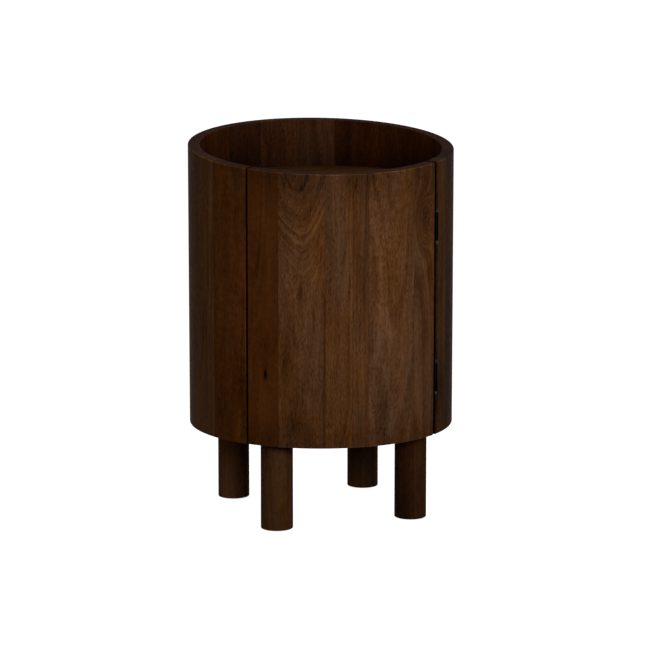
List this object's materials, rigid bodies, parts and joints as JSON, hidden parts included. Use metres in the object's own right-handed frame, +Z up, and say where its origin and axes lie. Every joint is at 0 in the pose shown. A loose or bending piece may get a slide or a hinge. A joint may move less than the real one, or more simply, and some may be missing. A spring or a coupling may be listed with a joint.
{
  "type": "nightstand",
  "caption": "Round drum nightstand of stained hardwood staves, with a rim sloping down to the front round a sunken tray top, a flush curved door on ball-tip butt hinges with a push latch, and round legs.",
  "frame": {"origin": "on the floor under the middle of the drum", "axes": "+Z up, the door towards -Y, the legs' square in line with X and Y"},
  "size_m": [0.406, 0.406, 0.5849],
  "materials": {
    "shell_wood": "dark walnut stain under satin lacquer",
    "door_wood": "dark walnut stain under satin lacquer",
    "board_wood": "dark walnut stain under satin lacquer",
    "leg_wood": "dark walnut stain under satin lacquer",
    "hinge_steel": "blackened, lightly polished",
    "zinc_steel": "bright zinc plate",
    "insert_brass": "turned",
    "glide_nylon": "moulded",
    "latch_plastic": "moulded",
    "plunger_plastic": "moulded"
  },
  "bodies": {
    "cabinet": {"shell_stave_01": "shell_wood", "shell_stave_02": "shell_wood", "shell_stave_03": "shell_wood", "shell_stave_04": "shell_wood", "shell_stave_05": "shell_wood", "shell_stave_06": "shell_wood", "shell_stave_07": "shell_wood", "shell_stave_08": "shell_wood", "shell_stave_09": "shell_wood", "shell_stave_10": "shell_wood", "shell_stave_11": "shell_wood", "shell_stave_12": "shell_wood", "shell_stave_13": "shell_wood", "shell_stave_14": "shell_wood", "shell_stave_15": "shell_wood", "shell_stave_16": "shell_wood", "tray_floor": "board_wood", "bottom_board": "board_wood", "leg_front_left": "leg_wood", "leg_front_right": "leg_wood", "leg_back_left": "leg_wood", "leg_back_right": "leg_wood", "leg_bolts": "zinc_steel", "leg_inserts": "insert_brass", "foot_glides": "glide_nylon", "glide_nails": "zinc_steel", "upper_hinge_shell_leaf": "hinge_steel", "upper_hinge_pin": "hinge_steel", "lower_hinge_shell_leaf": "hinge_steel", "lower_hinge_pin": "hinge_steel", "hinge_screws_shell": "hinge_steel", "latch_housing": "latch_plastic", "latch_spring": "zinc_steel", "latch_screws": "zinc_steel"},
    "door": {"door_stave_1": "door_wood", "door_stave_2": "door_wood", "door_stave_3": "door_wood", "door_stave_4": "door_wood", "door_stave_5": "door_wood", "door_stave_6": "door_wood", "upper_hinge_door_leaf": "hinge_steel", "lower_hinge_door_leaf": "hinge_steel", "hinge_screws_door": "hinge_steel", "strike_plate": "zinc_steel", "strike_screw": "zinc_steel"},
    "plunger": {"latch_plunger": "plunger_plastic", "latch_magnet": "zinc_steel"}
  },
  "joints": [
    {"name": "door_swing", "type": "hinge", "parent": "cabinet", "child": "door", "pos_m": [0.12826, -0.15896, 0.34425], "axis": [0, 0, 1], "range_deg": [0, 180]},
    {"name": "latch_plunger_slide", "type": "slide", "parent": "cabinet", "child": "plunger", "axis": [-0.6953, -0.7188, 0], "range_m": [0, 0.01]}
  ],
  "couplings": [
    {"joint": "latch_plunger_slide", "follows": "door_swing", "m_per_rad": 0.00318}
  ]
}
